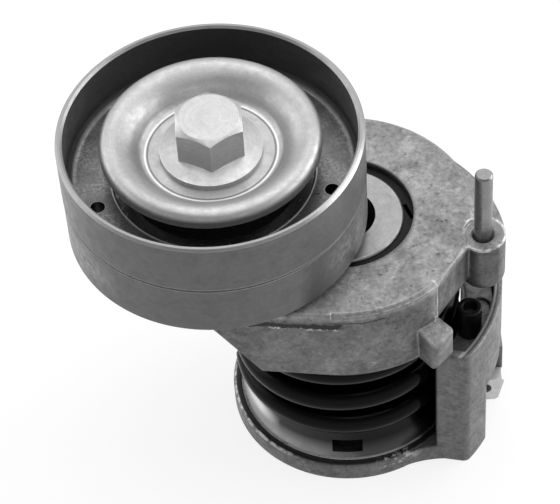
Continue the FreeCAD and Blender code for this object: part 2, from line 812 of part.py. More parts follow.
save(base_bracket(), "base_bracket")
save(column_wall(), "column_wall")
save(mount_nut(), "mount_nut")
save(pivot_tube(), "pivot_tube")
save(thrust_washer(), "thrust_washer")
save(spring_seat(), "spring_seat")
save(torsion_spring(), "torsion_spring")
save(spring_guide(), "spring_guide")
save(spring_cap(), "spring_cap")
save(stop_peg(), "stop_peg")
save(stop_buffer(), "stop_buffer")
save(tensioner_arm(), "tensioner_arm")
save(pivot_bush(), "pivot_bush")
save(lock_pin(), "lock_pin")
save(pulley_rim(), "pulley_rim")
save(pulley_web(), "pulley_web")
save(bearing_outer_ring(), "bearing_outer_ring")
save(bearing_inner_ring(), "bearing_inner_ring")
save(bearing_balls(), "bearing_balls")
save(ball_cage(), "ball_cage")
save(bearing_seal(bearing_high - seal_depth - seal_thickness), "front_seal")
save(bearing_seal(bearing_low + seal_depth), "rear_seal")
save(pulley_spacer(), "pulley_spacer")
save(dust_cap(), "dust_cap")
save(pulley_bolt(), "pulley_bolt")
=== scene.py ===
import bpy
import json
import math
from mathutils import Matrix, Vector


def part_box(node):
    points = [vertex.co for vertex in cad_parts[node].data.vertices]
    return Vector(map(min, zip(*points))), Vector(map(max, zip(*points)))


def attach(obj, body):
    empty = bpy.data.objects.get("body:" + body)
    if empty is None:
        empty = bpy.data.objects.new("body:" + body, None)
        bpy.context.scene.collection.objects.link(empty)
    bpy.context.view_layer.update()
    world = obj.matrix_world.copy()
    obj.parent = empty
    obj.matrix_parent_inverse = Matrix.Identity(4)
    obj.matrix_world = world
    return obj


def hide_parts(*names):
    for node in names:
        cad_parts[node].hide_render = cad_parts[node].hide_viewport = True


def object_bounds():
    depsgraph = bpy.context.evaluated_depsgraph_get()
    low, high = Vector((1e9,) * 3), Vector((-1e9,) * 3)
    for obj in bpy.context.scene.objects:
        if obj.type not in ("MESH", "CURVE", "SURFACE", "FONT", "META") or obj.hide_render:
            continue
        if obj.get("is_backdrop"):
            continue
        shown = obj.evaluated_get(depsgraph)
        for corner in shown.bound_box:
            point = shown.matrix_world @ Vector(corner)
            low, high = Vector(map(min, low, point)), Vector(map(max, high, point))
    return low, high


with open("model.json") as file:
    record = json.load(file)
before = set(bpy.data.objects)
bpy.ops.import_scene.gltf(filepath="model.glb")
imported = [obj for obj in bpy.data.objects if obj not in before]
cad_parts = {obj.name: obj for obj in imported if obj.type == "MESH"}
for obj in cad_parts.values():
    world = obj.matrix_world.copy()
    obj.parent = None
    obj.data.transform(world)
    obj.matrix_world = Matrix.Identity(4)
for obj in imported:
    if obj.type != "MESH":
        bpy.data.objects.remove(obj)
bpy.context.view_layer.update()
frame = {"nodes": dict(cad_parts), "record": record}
print("frame loaded:", len(frame["nodes"]), "nodes")

mm = 0.001


def deselectAll():
    if bpy.context.object and bpy.context.object.mode != "OBJECT":
        bpy.ops.object.mode_set(mode="OBJECT")
    bpy.ops.object.select_all(action="DESELECT")


def pickOnly(piece):
    deselectAll()
    piece.select_set(True)
    bpy.context.view_layer.objects.active = piece


def applyAll(piece):
    pickOnly(piece)
    for modifier in list(piece.modifiers):
        bpy.ops.object.modifier_apply(modifier=modifier.name)


def middle(node):
    low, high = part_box(node)
    return (Vector(low) + Vector(high)) / 2


def bodyOf(node):
    for name, nodes in frame["record"]["behaviour"]["bodies"].items():
        if node in nodes:
            return name


def axisOf(node):
    # the upright axis of a round piece
    centre = middle(node)
    return Vector((centre.x, centre.y, 0))


def topOf(node):
    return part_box(node)[1][2]


def bottomOf(node):
    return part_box(node)[0][2]


def halfWidth(node):
    low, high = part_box(node)
    return (high[1] - low[1]) / 2


pivotAxis = Vector((0, 0, 0))
pulleyAxis = axisOf("pulley_bolt")
pinAxis = axisOf("lock_pin")
pivotSunk = 0.8 * mm  # the pivot's end stands this far below the arm's face
armTop = topOf("pivot_tube") + pivotSunk


# Node groups that several finishes share

def addNode(tree, kind, values=None, **settings):
    node = tree.nodes.new(kind)
    for name, value in settings.items():
        setattr(node, name, value)
    for name, value in (values or {}).items():
        node.inputs[name].default_value = value
    return node


def newGroup(name, inputs, outputs):
    tree = bpy.data.node_groups.new(name, "ShaderNodeTree")
    for socket, kind, value in inputs:
        made = tree.interface.new_socket(name=socket, in_out="INPUT", socket_type=kind)
        if value is not None:
            made.default_value = value
    for socket, kind in outputs:
        tree.interface.new_socket(name=socket, in_out="OUTPUT", socket_type=kind)
    return tree, tree.nodes.new("NodeGroupInput"), tree.nodes.new("NodeGroupOutput")


def mathNode(tree, operation, first, second=None, clamp=False):
    node = addNode(tree, "ShaderNodeMath", operation=operation, use_clamp=clamp)
    for slot, value in enumerate((first, second)):
        if value is None:
            continue
        if isinstance(value, (int, float)):
            node.inputs[slot].default_value = value
        else:
            tree.links.new(value, node.inputs[slot])
    return node.outputs[0]


def remap(tree, value, fromLow, fromHigh, toLow, toHigh):
    node = addNode(tree, "ShaderNodeMapRange", {"From Min": fromLow, "From Max": fromHigh,
                                                "To Min": toLow, "To Max": toHigh})
    tree.links.new(value, node.inputs["Value"])
    return node.outputs["Result"]


def ramp(tree, value, zeroAt, oneAt):
    return remap(tree, value, zeroAt, oneAt, 0.0, 1.0)


def flatOf(tree, where):
    # the point with its height left out
    parts = addNode(tree, "ShaderNodeSeparateXYZ")
    tree.links.new(where, parts.inputs[0])
    flat = addNode(tree, "ShaderNodeCombineXYZ")
    for axis in "XY":
        tree.links.new(parts.outputs[axis], flat.inputs[axis])
    return flat.outputs[0]


def noiseNode(tree, vector, scale, detail, roughness, distortion=0.0):
    noise = addNode(tree, "ShaderNodeTexNoise",
                    {"Detail": detail, "Roughness": roughness, "Distortion": distortion})
    tree.links.new(vector, noise.inputs["Vector"])
    if isinstance(scale, (int, float)):
        noise.inputs["Scale"].default_value = scale
    else:
        tree.links.new(scale, noise.inputs["Scale"])
    return noise.outputs["Fac"]


def spreadOf(tree, noise, amount, middle=0.0):
    # a noise stretched to run from middle - amount to middle + amount
    return remap(tree, noise, 0.3, 0.7, middle - amount, middle + amount)


castNoise = {"blotchScale": 4.3, "spotScale": 0.9, "pits": (0.63, 0.74), "rubbed": (0.36, 0.27),
             "cloudTone": 0.16, "blotchTone": 0.20, "grainTone": 0.24, "pitTone": 0.38, "rubbedTone": 0.30,
             "roughness": -0.09, "grainHeight": 0.5, "blotchHeight": 0.9, "cloudHeight": 1.4}


def buildCastSkin():
    # raw casting: clouds, blotches, fine grain, dark pits and a few bright rubbed specks
    tree, given, out = newGroup(
        "castSkin",
        [("Vector", "NodeSocketVector", None), ("Cloud", "NodeSocketFloat", 90.0),
         ("Grain", "NodeSocketFloat", 900.0), ("Pits", "NodeSocketFloat", 0.5),
         ("Depth", "NodeSocketFloat", 1.0)],
        [("Tone", "NodeSocketFloat"), ("Rough", "NodeSocketFloat"), ("Height", "NodeSocketFloat")])
    where, cloudScale, grainScale, pits, depth = given.outputs[:5]
    blotchScale = mathNode(tree, "MULTIPLY", cloudScale, castNoise["blotchScale"])
    spotScale = mathNode(tree, "MULTIPLY", grainScale, castNoise["spotScale"])
    cloud = noiseNode(tree, where, cloudScale, 5.0, 0.62, 0.5)
    blotch = noiseNode(tree, where, blotchScale, 4.0, 0.6, 0.8)
    grain = noiseNode(tree, where, grainScale, 3.0, 0.7)
    spots = noiseNode(tree, where, spotScale, 2.0, 0.5)
    pit = mathNode(tree, "MULTIPLY", ramp(tree, spots, *castNoise["pits"]), pits)
    rubbed = mathNode(tree, "MULTIPLY", ramp(tree, spots, *castNoise["rubbed"]), pits)
    tone = mathNode(tree, "ADD", spreadOf(tree, cloud, castNoise["cloudTone"]),
                    spreadOf(tree, blotch, castNoise["blotchTone"]))
    tone = mathNode(tree, "ADD", tone, spreadOf(tree, grain, castNoise["grainTone"]))
    tone = mathNode(tree, "SUBTRACT", tone, mathNode(tree, "MULTIPLY", pit, castNoise["pitTone"]))
    tone = mathNode(tree, "ADD", tone, mathNode(tree, "MULTIPLY", rubbed, castNoise["rubbedTone"]))
    tone = mathNode(tree, "ADD", mathNode(tree, "MULTIPLY", tone, depth), 1.0)
    height = mathNode(tree, "ADD", mathNode(tree, "MULTIPLY", grain, castNoise["grainHeight"]),
                      mathNode(tree, "MULTIPLY", blotch, castNoise["blotchHeight"]))
    height = mathNode(tree, "ADD", height, mathNode(tree, "MULTIPLY", cloud, castNoise["cloudHeight"]))
    tree.links.new(tone, out.inputs["Tone"])
    tree.links.new(spreadOf(tree, blotch, castNoise["roughness"]), out.inputs["Rough"])
    tree.links.new(mathNode(tree, "SUBTRACT", height, pit), out.inputs["Height"])
    return tree


def buildTurnedLines():
    # fine rings left by turning or spinning about an upright axis through Centre
    tree, given, out = newGroup(
        "turnedLines",
        [("Vector", "NodeSocketVector", None), ("Centre", "NodeSocketVector", None),
         ("Pitch", "NodeSocketFloat", 3000.0)],
        [("Tone", "NodeSocketFloat"), ("Height", "NodeSocketFloat")])
    link = tree.links.new
    shift = addNode(tree, "ShaderNodeVectorMath", operation="SUBTRACT")
    link(given.outputs["Vector"], shift.inputs[0])
    link(given.outputs["Centre"], shift.inputs[1])
    parts = addNode(tree, "ShaderNodeSeparateXYZ")
    link(shift.outputs[0], parts.inputs[0])
    length = addNode(tree, "ShaderNodeVectorMath", operation="LENGTH")
    link(flatOf(tree, shift.outputs[0]), length.inputs[0])
    ringed = addNode(tree, "ShaderNodeCombineXYZ")
    link(mathNode(tree, "ADD", length.outputs["Value"], parts.outputs["Z"]), ringed.inputs["X"])
    link(mathNode(tree, "MULTIPLY", parts.outputs["X"], 0.02), ringed.inputs["Y"])
    lines = noiseNode(tree, ringed.outputs[0], given.outputs["Pitch"], 4.0, 0.7)
    link(spreadOf(tree, lines, 0.08, 1.0), out.inputs["Tone"])
    link(lines, out.inputs["Height"])
    return tree


def buildEdgeMask():
    # 1 along sharp outer edges and corners, 0 on faces
    tree, given, out = newGroup(
        "edgeMask", [("Width", "NodeSocketFloat", 0.4 * mm)], [("Mask", "NodeSocketFloat")])
    link = tree.links.new
    rounded = addNode(tree, "ShaderNodeBevel", samples=4)
    link(given.outputs["Width"], rounded.inputs["Radius"])
    plain = addNode(tree, "ShaderNodeNewGeometry")
    match = addNode(tree, "ShaderNodeVectorMath", operation="DOT_PRODUCT")
    link(rounded.outputs["Normal"], match.inputs[0])
    link(plain.outputs["Normal"], match.inputs[1])
    link(ramp(tree, match.outputs["Value"], 0.98, 0.80), out.inputs["Mask"])
    return tree


def buildBand():
    # 1 where Value is within Half of Middle, fading out over Soft
    tree, given, out = newGroup(
        "band",
        [("Value", "NodeSocketFloat", 0.0), ("Middle", "NodeSocketFloat", 0.0),
         ("Half", "NodeSocketFloat", 0.001), ("Soft", "NodeSocketFloat", 0.0002)],
        [("Mask", "NodeSocketFloat")])
    away = mathNode(tree, "SUBTRACT", given.outputs["Value"], given.outputs["Middle"])
    away = mathNode(tree, "SUBTRACT", mathNode(tree, "ABSOLUTE", away), given.outputs["Half"])
    away = mathNode(tree, "DIVIDE", away, given.outputs["Soft"])
    tree.links.new(mathNode(tree, "SUBTRACT", 1.0, away, clamp=True), out.inputs["Mask"])
    return tree


castSkin = buildCastSkin()
turnedLines = buildTurnedLines()
edgeMask = buildEdgeMask()
band = buildBand()
print("node groups built")


def newMaterial(name, metallic, roughness, gloss):
    material = bpy.data.materials.new(name)
    material.use_nodes = True
    tree = material.node_tree
    shader = tree.nodes["Principled BSDF"]
    shader.inputs["Metallic"].default_value = metallic
    shader.inputs["Roughness"].default_value = roughness
    shader.inputs["Specular IOR Level"].default_value = gloss
    coords = addNode(tree, "ShaderNodeTexCoord")
    return material, tree, shader, coords.outputs["Object"]


def useGroup(tree, group, vector=None, **values):
    node = tree.nodes.new("ShaderNodeGroup")
    node.node_tree = group
    for name, value in values.items():
        if isinstance(value, bpy.types.NodeSocket):
            tree.links.new(value, node.inputs[name])
        else:
            node.inputs[name].default_value = value
    if vector is not None:
        tree.links.new(vector, node.inputs["Vector"])
    return node


def bandOf(tree, value, low, high, soft):
    node = useGroup(tree, band, Value=value, Middle=(low + high) / 2, Half=(high - low) / 2, Soft=soft)
    return node.outputs["Mask"]


def allOf(tree, first, *others):
    for other in others:
        first = mathNode(tree, "MULTIPLY", first, other)
    return first


def tinted(tree, color, factor):
    # a colour whose brightness follows the factor
    mix = addNode(tree, "ShaderNodeMix", data_type="RGBA", blend_type="MULTIPLY")
    mix.inputs[0].default_value = 1.0
    mix.inputs[6].default_value = (*color, 1.0)
    tree.links.new(factor, mix.inputs[7])
    return mix.outputs[2]


def painted(tree, under, mask, color, strength=1.0):
    # another colour laid over the first where the mask is 1
    if strength != 1.0:
        mask = mathNode(tree, "MULTIPLY", mask, strength)
    mix = addNode(tree, "ShaderNodeMix", data_type="RGBA")
    tree.links.new(mask, mix.inputs[0])
    tree.links.new(under, mix.inputs[6])
    mix.inputs[7].default_value = (*color, 1.0)
    return mix.outputs[2]


def stained(tree, color, shade):
    # the colour made darker or lighter by a factor
    mix = addNode(tree, "ShaderNodeMix", data_type="RGBA", blend_type="MULTIPLY")
    mix.inputs[0].default_value = 1.0
    tree.links.new(color, mix.inputs[6])
    tree.links.new(shade, mix.inputs[7])
    return mix.outputs[2]


def shadedIn(tree, color, mask, factor):
    # the colour times the factor where the mask is 1
    return stained(tree, color, remap(tree, mask, 0.0, 1.0, 1.0, factor))


def bumpFrom(tree, height, distance, strength):
    bump = addNode(tree, "ShaderNodeBump", {"Distance": distance, "Strength": strength})
    tree.links.new(height, bump.inputs["Height"])
    return bump.outputs["Normal"]


def polarOf(tree, where, centre=pivotAxis):
    # radius, angle in degrees and height of a point about an upright axis
    shift = addNode(tree, "ShaderNodeVectorMath", operation="SUBTRACT")
    tree.links.new(where, shift.inputs[0])
    shift.inputs[1].default_value = centre
    parts = addNode(tree, "ShaderNodeSeparateXYZ")
    tree.links.new(shift.outputs[0], parts.inputs[0])
    squares = [mathNode(tree, "MULTIPLY", parts.outputs[axis], parts.outputs[axis]) for axis in "XY"]
    radius = mathNode(tree, "SQRT", mathNode(tree, "ADD", *squares))
    turn = mathNode(tree, "ARCTAN2", parts.outputs["Y"], parts.outputs["X"])
    return radius, mathNode(tree, "DEGREES", turn), parts.outputs["Z"]


def acrossBack(tree, angle, low, high, fade):
    # a band of angles that runs past the left, where the angle jumps by a full turn
    return mathNode(tree, "MAXIMUM", bandOf(tree, angle, low, high, fade),
                    bandOf(tree, angle, low + 360.0, high + 360.0, fade))


def flecksOf(tree, where, scale, low, high):
    # scattered specks
    return ramp(tree, noiseNode(tree, where, scale, 3.0, 0.6), low, high)


def castMaterial(name, look, marks=None):
    # marks(tree, where, colour) paints a piece's own stains and lines, and painted light and shade, and gives
    # the colour and a height
    material, tree, shader, where = newMaterial(name, look["metallic"], look["roughness"], look["gloss"])
    skin = useGroup(tree, castSkin, where, Cloud=look["cloud"], Grain=look["grain"], Pits=look["pits"],
                    Depth=look["depth"])
    edge = useGroup(tree, edgeMask, Width=look["edgeWidth"]).outputs["Mask"]
    color = tinted(tree, look["color"], skin.outputs["Tone"])
    color = painted(tree, color, edge, look["wornColor"], look["wear"])
    height = skin.outputs["Height"]
    if marks:
        color, dent = marks(tree, where, color)
        height = mathNode(tree, "SUBTRACT", height, dent)
    tree.links.new(color, shader.inputs["Base Color"])
    rough = mathNode(tree, "ADD", skin.outputs["Rough"], look["roughness"], clamp=True)
    rough = mathNode(tree, "SUBTRACT", rough, mathNode(tree, "MULTIPLY", edge, look["edgeShine"]), clamp=True)
    tree.links.new(rough, shader.inputs["Roughness"])
    corners = addNode(tree, "ShaderNodeBevel", {"Radius": look["softCorners"]}, samples=8)
    normal = bumpFrom(tree, height, look["bump"], look["bumpStrength"])
    tree.links.new(corners.outputs["Normal"], normal.node.inputs["Normal"])
    tree.links.new(normal, shader.inputs["Normal"])
    return material


def turnedMaterial(name, look, centre, marks=None):
    material, tree, shader, where = newMaterial(name, look["metallic"], look["roughness"], look["gloss"])
    lines = useGroup(tree, turnedLines, where, Centre=centre, Pitch=look["pitch"])
    skin = useGroup(tree, castSkin, where, Cloud=look["cloud"], Grain=look["grain"], Pits=look["pits"],
                    Depth=look["depth"])
    tone = mathNode(tree, "MULTIPLY", lines.outputs["Tone"], skin.outputs["Tone"])
    color = tinted(tree, look["color"], tone)
    if look["wear"]:
        edge = useGroup(tree, edgeMask, Width=look["edgeWidth"]).outputs["Mask"]
        color = painted(tree, color, edge, look["wornColor"], look["wear"])
    unevenness = mathNode(tree, "MULTIPLY", skin.outputs["Height"], look["unevenness"])
    height = mathNode(tree, "ADD", lines.outputs["Height"], unevenness)
    if marks:
        color, dent = marks(tree, where, color)
        height = mathNode(tree, "SUBTRACT", height, dent)
    tree.links.new(color, shader.inputs["Base Color"])
    rough = mathNode(tree, "ADD", skin.outputs["Rough"], look["roughness"], clamp=True)
    tree.links.new(rough, shader.inputs["Roughness"])
    tree.links.new(bumpFrom(tree, height, look["bump"], look["bumpStrength"]), shader.inputs["Normal"])
    return material


def grey(value):
    return (value, value, value)


armCasting = {"metallic": 0.35, "roughness": 0.44, "gloss": 0.5, "color": grey(0.28), "cloud": 75.0,
              "grain": 1000.0, "pits": 1.0, "depth": 1.2, "edgeWidth": 0.4 * mm, "wear": 0.85,
              "wornColor": grey(0.70), "edgeShine": 0.15, "bump": 0.1 * mm, "bumpStrength": 0.6,
              "softCorners": 1.1 * mm}
baseCasting = {**armCasting, "color": grey(0.19), "wear": 0.35, "wornColor": grey(0.45)}
pulleySteel = {"metallic": 0.65, "roughness": 0.36, "gloss": 0.5, "color": grey(0.14), "pitch": 1400.0,
               "cloud": 60.0, "grain": 900.0, "pits": 0.2, "depth": 0.35, "unevenness": 0.4,
               "bump": 0.01 * mm, "bumpStrength": 0.5, "edgeWidth": 0.4 * mm, "wear": 0.55,
               "wornColor": grey(0.55)}
zincPlate = {"metallic": 0.8, "roughness": 0.44, "gloss": 0.5, "color": grey(0.47), "pitch": 2600.0,
             "cloud": 110.0, "grain": 1600.0, "pits": 0.0, "depth": 0.30, "unevenness": 0.4,
             "bump": 0.012 * mm, "bumpStrength": 0.5, "edgeWidth": 0.3 * mm, "wear": 0.4,
             "wornColor": grey(0.85)}
boltZinc = {**zincPlate, "color": grey(0.52), "roughness": 0.36, "wear": 0.8}
nutZinc = {**zincPlate, "color": grey(0.75), "metallic": 0.6}
turnedSteel = {**zincPlate, "color": grey(0.33), "roughness": 0.38}
seatSheet = {**pulleySteel, "color": grey(0.10), "roughness": 0.32, "metallic": 0.8, "wear": 0.0,
             "depth": 0.12, "pits": 0.0}
pinSteel = {**pulleySteel, "color": grey(0.26), "roughness": 0.30, "metallic": 0.75}
bearingSteel = {**zincPlate, "color": grey(0.5), "roughness": 0.22, "metallic": 1.0}
springBlack = {**pulleySteel, "color": grey(0.002), "roughness": 0.18, "metallic": 0.0, "gloss": 0.09,
               "wear": 0.0}
blackPolymer = {**pulleySteel, "color": grey(0.006), "roughness": 0.5, "metallic": 0.0, "gloss": 0.2,
                "bump": 0.02 * mm, "wear": 0.0}
bufferRubber = {**blackPolymer, "color": grey(0.01), "roughness": 0.32}
sealRubber = {**bufferRubber, "color": grey(0.03)}
cageBrass = {**bearingSteel, "color": (0.45, 0.34, 0.15), "roughness": 0.35}


# Marks of single pieces. A band is (low, high, fade), a ramp is (where it is 0, where it is 1),
# a shade is (from, to, factor at from, factor at to), and flecks are (scale, low, high) of their noise.

armLook = {
    "wallShade": (-2.4 * mm, -1.6 * mm, 0.82, 1.0), "stainScale": 130.0, "stainShade": (0.40, 0.62, 0.84, 1.14),
    "top": (-1.9 * mm, -1.5 * mm), "wall": (-1.5 * mm, -1.9 * mm),
    "highlightAngles": (-120.0, -80.0, 25.0), "highlightFrom": (17.0 * mm, 23.0 * mm), "highlight": 1.22,
    "boreShadow": (19.0 * mm, 18.5 * mm), "boreBelow": (-0.6 * mm, -0.8 * mm), "boreShade": 0.4,
    "facetAngle": -48.3, "facetEnd": 10.0, "facetFade": 0.6, "facetFoot": (-15.0 * mm, -14.4 * mm),
    "facetShade": 0.66, "bossRadius": 5.3 * mm, "bossShade": 0.60,
    "streakScale": 420.0, "streakShade": (0.35, 0.65, 0.72, 1.3)}
armEdges = {
    "color": grey(0.78), "flecks": (600.0, 0.40, 0.56), "housingRadius": 31.3 * mm,
    "topAngles": (-85.0, armLook["facetAngle"], 8.0), "topBelow": (-0.75 * mm, 0.1 * mm, 0.1 * mm),
    "facetFrom": (29.5 * mm, 30.0 * mm), "facetBelow": (-14.5 * mm, 0.0, 0.5 * mm),
    "bossBelow": (-1.7 * mm, -1.15 * mm, 0.15 * mm), "notchBelow": (-0.6 * mm, 0.1 * mm, 0.1 * mm),
    "notchRing": (4.35 * mm, 4.75 * mm, 0.12 * mm)}
flashLine = {
    "along": (-26.5 * mm, -2.6 * mm, 1.2 * mm), "angles": (-140.0, -60.0, 1.0), "drop": 3.7 * mm,
    "half": 0.62 * mm, "fade": 0.15 * mm, "coarse": 1.2 * mm, "fine": 1.3 * mm, "frayed": 5.0 * mm,
    "lip": (-4.85 * mm, -4.35 * mm, 0.12 * mm), "lipFlecks": (900.0, 0.50, 0.56),
    "lipShare": (-19.0 * mm, -17.0 * mm, 0.15, 1.0), "lipColor": grey(0.80),
    "crackAngles": (-97.0, -75.0, 1.5), "crackLevel": (-2.59 * mm, -2.41 * mm, 0.1 * mm),
    "crackWander": 1.6 * mm, "crackStrength": 0.85, "shadowHeight": 0.9 * mm, "shadowFade": 0.6 * mm,
    "shadow": 0.45, "shadowColor": grey(0.05), "darkColor": grey(0.008), "depth": 3.0}


def armWalls(tree, where, color, radius, angle, below, pinDistance):
    # painted shade on the walls below the top, a painted highlight on the top's front, painted shade in the
    # bore, on the facet and on the pin's boss, and upright streaks on the facet and the pin's boss
    stains = remap(tree, noiseNode(tree, where, armLook["stainScale"], 3.0, 0.6, 0.6), *armLook["stainShade"])
    # painted shade: the walls darker than the top, times random stains
    wallShade = remap(tree, below, *armLook["wallShade"])
    color = stained(tree, color, mathNode(tree, "MULTIPLY", wallShade, stains))
    # a painted highlight on the top towards the front
    highlighted = allOf(tree, bandOf(tree, angle, *armLook["highlightAngles"]), ramp(tree, below, *armLook["top"]),
                     ramp(tree, radius, *armLook["highlightFrom"]))
    color = shadedIn(tree, color, highlighted, armLook["highlight"])
    # painted shade in the bore
    boreShadow = allOf(tree, ramp(tree, radius, *armLook["boreShadow"]), ramp(tree, below, *armLook["boreBelow"]))
    color = shadedIn(tree, color, boreShadow, armLook["boreShade"])
    # painted shade on the facet and on the wall of the pin's boss
    wallOnly = ramp(tree, below, *armLook["wall"])
    bossStart = armLook["bossRadius"] + 0.2 * mm
    facet = allOf(tree, bandOf(tree, angle, armLook["facetAngle"], armLook["facetEnd"], armLook["facetFade"]),
                  wallOnly, ramp(tree, below, *armLook["facetFoot"]),
                  ramp(tree, pinDistance, bossStart, bossStart + 0.6 * mm))
    boss = allOf(tree, ramp(tree, pinDistance, bossStart + 0.5 * mm, bossStart), wallOnly)
    color = shadedIn(tree, color, facet, armLook["facetShade"])
    color = shadedIn(tree, color, boss, armLook["bossShade"])
    streaks = noiseNode(tree, flatOf(tree, where), armLook["streakScale"], 1.0, 0.4)
    upright = addNode(tree, "ShaderNodeMix", data_type="FLOAT")
    upright.inputs[2].default_value = 1.0
    tree.links.new(mathNode(tree, "MAXIMUM", facet, boss), upright.inputs[0])
    tree.links.new(remap(tree, streaks, *armLook["streakShade"]), upright.inputs[3])
    return stained(tree, color, upright.outputs[0])


def armWorn(tree, where, color, radius, angle, below, pinDistance):
    # bright rubbed edges of the housing's top, the facet, the boss and its notch
    facetAngle, bossRadius = armLook["facetAngle"], armLook["bossRadius"]
    housing = armEdges["housingRadius"]
    topEdge = allOf(tree, bandOf(tree, radius, housing - 0.4 * mm, housing + 0.1 * mm, 0.12 * mm),
                    bandOf(tree, below, *armEdges["topBelow"]), bandOf(tree, angle, *armEdges["topAngles"]))
    facetEdge = allOf(tree, bandOf(tree, angle, facetAngle - 0.3, facetAngle + 0.3, 0.25),
                      ramp(tree, radius, *armEdges["facetFrom"]), bandOf(tree, below, *armEdges["facetBelow"]))
    bossRim = allOf(tree, bandOf(tree, pinDistance, bossRadius - 0.35 * mm, bossRadius + 0.1 * mm, 0.12 * mm),
                    bandOf(tree, below, *armEdges["bossBelow"]))
    notchRim = allOf(tree, bandOf(tree, pinDistance, *armEdges["notchRing"]),
                     bandOf(tree, below, *armEdges["notchBelow"]))
    worn = mathNode(tree, "MAXIMUM", mathNode(tree, "MAXIMUM", topEdge, facetEdge),
                    mathNode(tree, "MAXIMUM", bossRim, notchRim))
    rubbed = mathNode(tree, "MULTIPLY", worn, flecksOf(tree, where, *armEdges["flecks"]))
    return painted(tree, color, rubbed, armEdges["color"])


def armSeam(tree, where, color, angle, below):
    # where the casting's halves met: a torn crevice with a bright lip, and a crack on from it
    parts = addNode(tree, "ShaderNodeSeparateXYZ")
    tree.links.new(where, parts.inputs[0])
    x = parts.outputs["X"]
    coarse = mathNode(tree, "SUBTRACT", noiseNode(tree, where, 260.0, 2.0, 0.6), 0.5)
    fine = mathNode(tree, "SUBTRACT", noiseNode(tree, where, 1000.0, 3.0, 0.7), 0.5)
    ragged = mathNode(tree, "ADD", mathNode(tree, "MULTIPLY", coarse, flashLine["coarse"]),
                      mathNode(tree, "MULTIPLY", fine, flashLine["fine"]))
    level = mathNode(tree, "ADD", below, ragged)
    frayed = mathNode(tree, "ADD", x, mathNode(tree, "MULTIPLY", mathNode(tree, "ADD", coarse, fine),
                                               flashLine["frayed"]))
    along = allOf(tree, bandOf(tree, frayed, *flashLine["along"]), bandOf(tree, angle, *flashLine["angles"]))
    drop, half = flashLine["drop"], flashLine["half"]
    crevice = allOf(tree, along, bandOf(tree, level, -drop - half, -drop + half, flashLine["fade"]))
    lip = allOf(tree, along, bandOf(tree, level, *flashLine["lip"]),
                flecksOf(tree, where, *flashLine["lipFlecks"]), remap(tree, x, *flashLine["lipShare"]))
    wander = mathNode(tree, "ADD", below, mathNode(tree, "MULTIPLY", coarse, flashLine["crackWander"]))
    crack = allOf(tree, bandOf(tree, angle, *flashLine["crackAngles"]),
                  bandOf(tree, wander, *flashLine["crackLevel"]))
    dark = mathNode(tree, "MAXIMUM", crevice, mathNode(tree, "MULTIPLY", crack, flashLine["crackStrength"]))
    shadow = allOf(tree, along, bandOf(tree, level, -drop, flashLine["shadowHeight"] - drop,
                                       flashLine["shadowFade"]))
    color = painted(tree, color, shadow, flashLine["shadowColor"], flashLine["shadow"])
    color = painted(tree, color, dark, flashLine["darkColor"])
    color = painted(tree, color, lip, flashLine["lipColor"])
    return color, mathNode(tree, "MULTIPLY", dark, flashLine["depth"])


def armMarks(tree, where, color):
    radius, angle, height = polarOf(tree, where)
    below = mathNode(tree, "SUBTRACT", height, armTop)
    pinDistance = polarOf(tree, where, pinAxis)[0]
    color = armWalls(tree, where, color, radius, angle, below, pinDistance)
    color = armWorn(tree, where, color, radius, angle, below, pinDistance)
    return armSeam(tree, where, color, angle, below)


baseLook = {
    "rimTop": 4.9 * mm, "rimRadius": 29.0 * mm, "rimWall": 1.8 * mm, "rimShadeColor": grey(0.018),
    "leftRimHighlightAngles": (-185.0, -125.0, 8.0), "leftRimHighlightFlecks": (600.0, 0.42, 0.54),
    "scuffAngles": (-74.0, -62.0, 6.0), "scuffHeight": 2.2 * mm, "scuffFlecks": (650.0, 0.52, 0.62),
    "brightColor": grey(0.62), "columnTop": 41.2 * mm, "wallInner": 35.9 * mm,
    "columnTopShade": grey(0.05), "columnTopShadeStrength": 0.7, "columnTopHighlight": grey(0.55), "columnTopHighlightStrength": 0.8}


